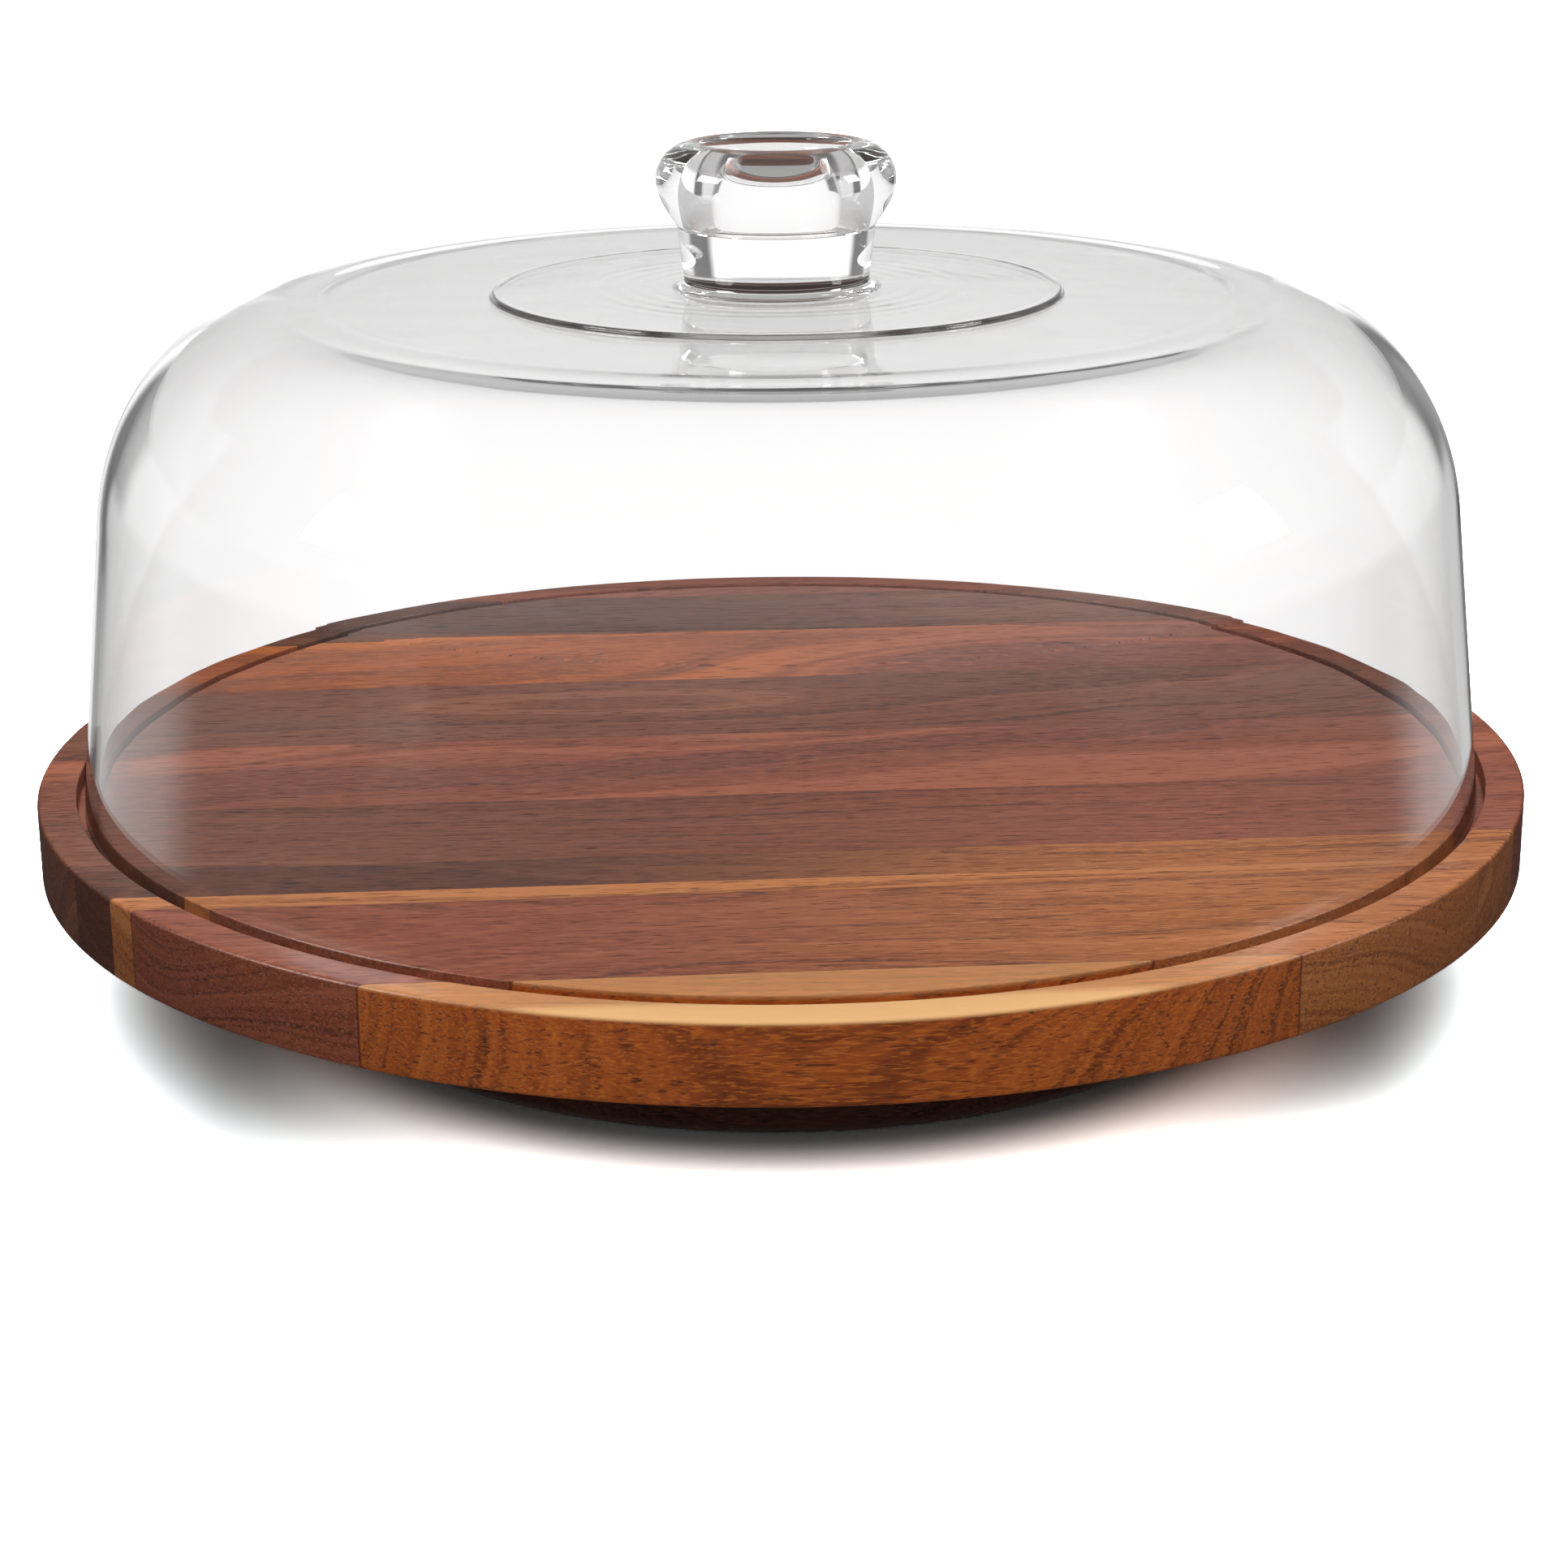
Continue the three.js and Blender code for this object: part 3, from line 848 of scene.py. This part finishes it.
def smooth_line(points, steps):
    """A Catmull-Rom curve through the given points, without the first and the last stretch."""
    made = []
    for before, start, end, after in zip(points, points[1:], points[2:], points[3:]):
        for t in spaced(0, 1, steps)[:-1]:
            made.append(tuple(
                0.5 * (2 * b + (c - a) * t + (2 * a - 5 * b + 4 * c - d) * t ** 2
                       + (3 * b - a - 3 * c + d) * t ** 3)
                for a, b, c, d in zip(before, start, end, after)))
    return [*made, points[-2]]


def drawn_in(points, distance):
    """The same line moved in, square to itself, by that distance."""
    made = []
    for i, (r, z) in enumerate(points):
        (r0, z0), (r1, z1) = points[max(0, i - 1)], points[min(len(points) - 1, i + 1)]
        length = math.hypot(r1 - r0, z1 - z0)
        made.append((r - distance * (z1 - z0) / length, z + distance * (r1 - r0) / length))
    return made


def dome_profile():
    """From the middle of the underside, down the inside, round the foot, up the outside to the middle."""
    foot_r, foot_z, top = DOME_HIGH.x, DOME_LOW.z, DOME_HIGH.z
    soft, steps = DOME_FOOT_ROUNDING, DOME_STEPS
    outside = [
        *[(foot_r + (SHOULDER_START[0] - foot_r) * p,
           foot_z + soft + (SHOULDER_START[1] - foot_z - soft) * p)
          for p in spaced(0, 1, steps["wall"])[:-1]],
        *shoulder_curve(steps["shoulder"]),
    ]
    inside = drawn_in(outside, DOME_WALL)
    inside[-1] = (SHOULDER_END[0], SHOULDER_END[1] - DOME_WALL)
    foot = [
        *arc((inside[0][0] + soft, foot_z + soft), soft, 180, 270, steps["foot"])[1:],
        *arc((foot_r - soft, foot_z + soft), soft, 270, 360, steps["foot"])[:-1],
    ]
    rise = crown_rise(CROWN_STEP["width"], SHOULDER_END[1])
    inner_rise = crown_rise(CROWN_STEP["inner_width"], SHOULDER_END[1] - DOME_WALL)
    crown_z = rise[-1][1]
    edge = TABLE_EDGE
    corner = top - crown_z - edge
    table = [
        *arc((TABLE_RADIUS + corner, crown_z + corner), corner, 270, 180, steps["corner"]),
        *arc((TABLE_RADIUS - edge, top - edge), edge, 0, 90, steps["edge"])[1:],
    ]
    crown_reach = spaced(rise[-1][0] - FLAT_MARGIN, table[0][0] + FLAT_MARGIN, steps["crown"])
    crown = [(r, crown_z) for r in crown_reach]
    middle = [(r, inner_rise[-1][1]) for r in spaced(0, inner_rise[-1][0] - FLAT_MARGIN, steps["middle"])]
    return [
        *middle, *inner_rise[::-1], *inside[::-1], *foot, *outside,
        *rise, *crown, *table, *table_top(top), (KNOB_FOOT_RADIUS, top), (0, top),
    ]


def crown_rise(width, low):
    """The slight rise from the end of the shoulder to the flat crown, for one face of the glass."""
    return [(SHOULDER_END[0] - width * p, low + CROWN_STEP["height"] * smooth_step(p))
            for p in spaced(0, 1, DOME_STEPS["rise"])[1:]]


def table_top(top):
    """The top of the raised table: a bead along its edge, and faint pressed rings about the knob."""
    bead, rings = TABLE_BEAD, TABLE_RIPPLES
    start = TABLE_RADIUS - TABLE_EDGE
    line = [(start - bead["width"] + bead["slope"] * (1 - p), top - bead["height"] * smooth_step(p))
            for p in spaced(0, 1, DOME_STEPS["bead"])]
    for part in spaced(0, 1, DOME_STEPS["ripple"] * rings["count"]):
        wave = (1 - math.cos(ROUND * rings["count"] * part)) / 2
        level = top - bead["height"] * (1 - smooth_step(part)) - rings["height"] * wave
        line.append((rings["to"] + (rings["from"] - rings["to"]) * part, level))
    return [*line, (KNOB_FOOT_RADIUS + FLAT_MARGIN, top)]


def knob_profile():
    """From the middle of its fused foot, out and up the neck and bulb, over the lip into the recess."""
    base, steps = KNOB_LOW.z, KNOB_STEPS
    top = KNOB_HIGH.z - base
    neck_low, neck_high = KNOB_NECK_RADII
    low_z, high_z = KNOB_NECK_HEIGHTS
    flare = []
    for part in spaced(0, 1, steps["flare"]):
        angle = part * math.pi / 2
        flare.append((KNOB_FOOT_RADIUS - (KNOB_FOOT_RADIUS - neck_low) * math.sin(angle) ** KNOB_FLARE_POWER,
                      low_z * (1 - math.cos(angle))))
    neck = [(neck_low + (neck_high - neck_low) * smooth_step(p) ** KNOB_NECK_POWER,
             low_z + (high_z - low_z) * p)
            for p in spaced(0, 1, steps["neck"])[1:]]
    waist, waist_z = KNOB_BULB["waist"], KNOB_BULB["waist_height"]
    wide, wide_z = KNOB_BULB["radius"], KNOB_BULB["height"]
    step = [
        (neck_high - KNOB_STEP["inset"], high_z + KNOB_STEP["rise"]),
        (waist - KNOB_STEP["outer_inset"], waist_z - KNOB_STEP["outer_drop"]),
    ]
    below = [(waist + (wide - waist) * math.sin(p * math.pi / 2), waist_z + (wide_z - waist_z) * p)
             for p in spaced(0, 1, steps["below"])]
    above = [(KNOB_LIP_RADIUS + (wide - KNOB_LIP_RADIUS) * math.cos(p * math.pi / 2),
              wide_z + (top - wide_z) * math.sin(p * math.pi / 2)) for p in spaced(0, 1, steps["above"])[1:]]
    floor_r, floor_z = KNOB_RECESS[-1]
    guided = [*above[-2:], *KNOB_RECESS, (floor_r - KNOB_FLOOR["guide"], floor_z)]
    recess_top = KNOB_RECESS[0][1] + TOLERANCE
    recess = [point for point in smooth_line(guided, steps["recess"]) if point[1] <= recess_top]
    floor = [(r, floor_z) for r in spaced(floor_r - KNOB_FLOOR["start"], 0, steps["floor"])]
    return [(r, z + base) for r, z in [(0, 0), *flare, *neck, *step, *below, *above, *recess, *floor]]


def on_joint(first, second):
    """True for a step of a profile that lies on the disc where knob and dome meet."""
    near = 1e-4
    return all(abs(z - KNOB_LOW.z) < near and r <= KNOB_FOOT_RADIUS + near for r, z in (first, second))


def glass_piece(node, profile, turns, joint, slot):
    """A turned glass piece, whose faces on the fused joint carry the joint's material."""
    points, faces, steps = lathe(profile, turns)
    piece = new_object(f"fine_{node}", points, faces)
    fused = [step for step in range(len(profile) - 1) if on_joint(profile[step], profile[step + 1])]
    piece.data.materials.append(clear_glass(slot))
    piece.data.materials.append(joint)
    piece.data.polygons.foreach_set("material_index", [1 if step in fused else 0 for step in steps])
    piece.data.polygons.foreach_set("use_smooth", [True] * len(faces))
    piece.data.set_sharp_from_angle(angle=math.radians(GLASS_CREASE))
    settle(piece, None, "dome", node)


def make_dome():
    joint = fused_joint()
    glass_piece("dome_shell", dome_profile(), TURNS["dome"], joint, "dome_glass")
    glass_piece("dome_knob", knob_profile(), TURNS["knob"], joint, "knob_glass")


# ---- Studio ----

CAMERA = {"azimuth": -4.0, "elevation": 17.68, "distance": 742.5, "roll": -0.4436, "lens": 74.907,
          "clip": (0.01, 200)}
CAMERA_TARGET = Vector((0.74, -0.05, 43.1))
SENSOR_WIDTH = 36.0

# The floor gives the camera back more light than falls on it, by an amount that depends on the place: painted
# shade under the board and painted light in front of the base.
# Every other ray gets back the "bounced" share. The zones are [from, to] distances: out from the axis,
# forward for "front_half", and to either side for "front_side".
FLOOR_HALF_SIZE = 30000.0
FLOOR_LIGHT = {"under": 1.3, "open": 5.0, "front": 13.0, "bounced": 0.32}
# A slight cool tint on the floor, painted so that its shadows lose the warm light bounced from the wood.
FLOOR_TINT = (0.95, 1.02, 1.03)
FLOOR_ZONES = {"open": (125.0, 185.0), "front": (104.0, 127.0), "front_half": (0.0, 60.0),
               "front_side": (52.0, 126.0)}

# Brightness of what is seen through the glass, in the sky and on the tent.
THROUGH_GLASS = 1.17
# Heights in the sky run from -1 straight below to 1 straight above.
SKY = {
    "overhead_heights": (0.62, 0.9), "overhead": (0.048, 2.16), "mirrored_heights": (0.05, 0.6),
    "mirrored": (0.68, 0.48), "under_glass": 0.32, "camera": 1.1,
}
FOR_WOOD = {"open": 0.05, "under_glass": 0.4, "horizon": (-0.05, 0.05)}

# Each band stop is [degrees from straight behind, brightness].
TENT = {"radius": 560.0, "low": -900.0, "high": 200.0, "split": (60.0, 95.0), "sides": 96}
TENT_LOW_BANDS = [(0, 0.86), (33, 0.86), (36.5, 0.15), (40.5, 0.15), (44.5, 0.6), (72, 0.65), (86, 0.1)]
TENT_HIGH_BANDS = [(0, 1.15), (30, 1.15), (36, 0.2), (49, 0.2), (56, 0.85), (75, 0.85), (95, 0.5)]
TENT_THROUGH_BANDS = [
    (0, THROUGH_GLASS), (30, THROUGH_GLASS), (36, 0.2), (49, 0.2), (56, 0.85), (75, 0.85),
    (95, THROUGH_GLASS),
]
# A ray that went into the dome and out again has crossed 3 or 4 faces of glass.
DOME_CROSSINGS = {"middle": 3.5, "reach": 0.9}

SOFTBOXES = {
    "softbox_left": {"azimuth": -73.5, "elevation": 28.7, "size": (500, 340), "radiance": 16.0},
    "softbox_right": {"azimuth": 76.0, "elevation": 24.9, "size": (300, 350), "radiance": 16.0},
}
SOFTBOX_DISTANCE = 1200.0
SUN = {"azimuth": -8.0, "elevation": 36.0, "spread": 30.0, "strength": 0.9}


def direction(azimuth, elevation):
    """A unit vector from the object: azimuth 0 is the front, 90 the right side."""
    a, e = math.radians(azimuth), math.radians(elevation)
    return Vector((math.sin(a) * math.cos(e), -math.cos(a) * math.cos(e), math.sin(e)))


def make_camera():
    data = bpy.data.cameras.new("camera")
    data.sensor_width = SENSOR_WIDTH
    data.lens = CAMERA["lens"]
    data.clip_start, data.clip_end = CAMERA["clip"]
    camera = bpy.data.objects.new("camera", data)
    bpy.context.scene.collection.objects.link(camera)
    back = direction(CAMERA["azimuth"], CAMERA["elevation"])
    camera.location = (CAMERA_TARGET + back * CAMERA["distance"]) * MM
    camera.rotation_mode = "QUATERNION"
    roll = Quaternion((0, 0, 1), math.radians(CAMERA["roll"]))
    camera.rotation_quaternion = (-back).to_track_quat("-Z", "Y") @ roll
    bpy.context.scene.camera = camera


def make_floor():
    """A white floor with painted shade and painted light where the camera sees it: dimmer under the board and
    brighter in front of the base. It is seen only from above, and not by rays that left glass or a polished
    face: those go on to the tent."""
    half = FLOOR_HALF_SIZE
    floor = new_object("floor", [(-half, -half, 0), (half, -half, 0), (half, half, 0), (-half, half, 0)],
                       [(0, 1, 2, 3)])
    s = material_shader("floor_white")
    path = s.node("ShaderNodeLightPath")
    x, y, _ = s.node("ShaderNodeSeparateXYZ", {"Vector": s.place()}).outputs
    outward = s.math("SQRT", s.math("MULTIPLY_ADD", x, x, s.math("MULTIPLY", y, y)))
    # Painted shade and light: the floor's brightness seen by the camera is lowered under the board and raised
    # in front of the base.
    seen = s.between(outward, *FLOOR_ZONES["open"], FLOOR_LIGHT["under"], FLOOR_LIGHT["open"])
    front = s.between(outward, *FLOOR_ZONES["front"])
    front = s.math("MULTIPLY", front, s.between(s.math("MULTIPLY", y, -1.0), *FLOOR_ZONES["front_half"]))
    front = s.math("MULTIPLY", front, s.between(s.math("ABSOLUTE", x), *FLOOR_ZONES["front_side"], 1.0, 0.0))
    seen = s.mix_value(front, seen, FLOOR_LIGHT["front"])
    brightness = s.mix_value(path.outputs["Is Camera Ray"], FLOOR_LIGHT["bounced"], seen)
    matt = s.node("ShaderNodeBsdfDiffuse", {"Color": s.vector("MULTIPLY", brightness, FLOOR_TINT)})
    through = s.node("ShaderNodeBsdfTransparent")
    back = s.node("ShaderNodeNewGeometry").outputs["Backfacing"]
    glassy = s.math("MAXIMUM", path.outputs["Is Glossy Ray"], path.outputs["Is Transmission Ray"])
    clear = s.math("MAXIMUM", back, glassy)
    mixed = s.node("ShaderNodeMixShader", {0: clear, 1: matt.outputs[0], 2: through.outputs[0]})
    floor.data.materials.append(s.surface(mixed.outputs[0]))


def bands(shader, place, stops):
    """A brightness by the angle round the stand, the same to the left and the right."""
    side = shader.math("ABSOLUTE", place.outputs["X"])
    angle = shader.math("DEGREES", shader.math("ARCTAN2", side, place.outputs["Y"]))
    value = stops[0][1]
    for (first, before), (last, after) in zip(stops, stops[1:]):
        value = shader.math("ADD", value, shader.between(angle, first, last, 0.0, after - before))
    return value


def under_glass(shader, path):
    """1 for a ray that went into the dome and out again."""
    crossed = path.outputs["Transmission Depth"]
    return shader.math("COMPARE", crossed, DOME_CROSSINGS["middle"], DOME_CROSSINGS["reach"])


def was_mirrored(shader, path):
    return shader.math("GREATER_THAN", path.outputs["Glossy Depth"], 0.5)


def make_tent():
    """A round screen about the stand that only glass and polished faces see. It is bright with a dark gap
    to each side, which draws the edges of the glass, and what is mirrored is darker in front. Oiled wood
    mirrors an even tone instead: nearly black in the open, and grey under the dome."""
    points, rows = [], []
    for height in (TENT["low"], TENT["high"]):
        add_row(points, rows, [TENT["radius"]] * TENT["sides"], height)
    tent = new_object("tent", points, skin(rows)[0])
    s = material_shader("tent_light")
    place = s.node("ShaderNodeSeparateXYZ", {"Vector": s.place()})
    path = s.node("ShaderNodeLightPath")
    high = s.between(place.outputs["Z"], *TENT["split"])
    through = s.mix_value(high, THROUGH_GLASS, bands(s, place, TENT_THROUGH_BANDS))
    mirrored = s.mix_value(high, bands(s, place, TENT_LOW_BANDS), bands(s, place, TENT_HIGH_BANDS))
    mirrored = s.mix_value(under_glass(s, path), mirrored, FOR_WOOD["under_glass"])
    mirrored = s.mix_value(path.outputs["Is Singular Ray"], FOR_WOOD["open"], mirrored)
    light = s.mix_value(was_mirrored(s, path), through, mirrored)
    glow = s.node("ShaderNodeEmission", {"Strength": light})
    tent.data.materials.append(s.surface(glow.outputs[0]))
    tent.visible_camera = False
    tent.visible_diffuse = False
    tent.visible_shadow = False


def make_sky():
    """Studio light: mostly from overhead for matt faces, and nearly even for what glass mirrors. What
    oiled wood mirrors is dark below the horizon, and an even grey under the dome."""
    world = bpy.data.worlds.new("studio")
    bpy.context.scene.world = world
    s = Shader(world, "ShaderNodeOutputWorld")
    coordinates = s.node("ShaderNodeTexCoord")
    height = s.node("ShaderNodeSeparateXYZ", {"Vector": coordinates.outputs["Generated"]}).outputs["Z"]
    path = s.node("ShaderNodeLightPath")
    overhead = s.between(height, *SKY["overhead_heights"], *SKY["overhead"])
    mirrored = s.between(height, *SKY["mirrored_heights"], *SKY["mirrored"])
    mirrored = s.mix_value(under_glass(s, path), mirrored, SKY["under_glass"])
    for_wood = s.between(height, *FOR_WOOD["horizon"], FOR_WOOD["open"], SKY["mirrored"][0])
    mirrored = s.mix_value(path.outputs["Is Singular Ray"], s.math("MINIMUM", mirrored, for_wood), mirrored)
    light = s.mix_value(path.outputs["Is Diffuse Ray"], THROUGH_GLASS, overhead)
    light = s.mix_value(was_mirrored(s, path), light, mirrored)
    light = s.mix_value(path.outputs["Is Camera Ray"], light, SKY["camera"])
    background = s.node("ShaderNodeBackground", {"Color": (1.0, 1.0, 1.0, 1.0), "Strength": light})
    s.surface(background.outputs[0])


def aim(obj, back):
    obj.rotation_mode = "QUATERNION"
    obj.rotation_quaternion = (-back).to_track_quat("-Z", "Y")


def make_lights():
    """Two softboxes that only mirror in the glass and the oiled wood, and one wide soft lamp in front and
    above that lights only matt faces."""
    for name, box in SOFTBOXES.items():
        data = bpy.data.lights.new(name, "AREA")
        data.shape = "RECTANGLE"
        data.size, data.size_y = box["size"][0] * MM, box["size"][1] * MM
        data.energy = box["radiance"] * math.pi * data.size * data.size_y
        light = bpy.data.objects.new(name, data)
        bpy.context.scene.collection.objects.link(light)
        back = direction(box["azimuth"], box["elevation"])
        light.location = (back * SOFTBOX_DISTANCE + Vector((0, 0, BOARD_HIGH.z))) * MM
        aim(light, back)
        light.visible_diffuse = False
        light.visible_camera = False
    data = bpy.data.lights.new("overhead", "SUN")
    data.angle = math.radians(SUN["spread"])
    data.energy = SUN["strength"]
    light = bpy.data.objects.new("overhead", data)
    bpy.context.scene.collection.objects.link(light)
    aim(light, direction(SUN["azimuth"], SUN["elevation"]))
    light.visible_glossy = False
    light.visible_transmission = False


def set_up_scene():
    scene = bpy.context.scene
    scene.view_settings.view_transform = "Standard"
    scene.view_settings.look = "None"
    scene.cycles.max_bounces = 32
    scene.cycles.transmission_bounces = 24
    scene.cycles.transparent_max_bounces = 24
    scene.cycles.glossy_bounces = 24
    scene.cycles.diffuse_bounces = 4
    scene.cycles.caustics_reflective = False
    scene.cycles.caustics_refractive = False
    scene.cycles.use_denoising = True


make_camera()
make_board()
make_base()
make_feet()
make_rings()
make_cage()
make_balls()
make_screws()
make_dome()
make_floor()
make_tent()
make_sky()
make_lights()
set_up_scene()
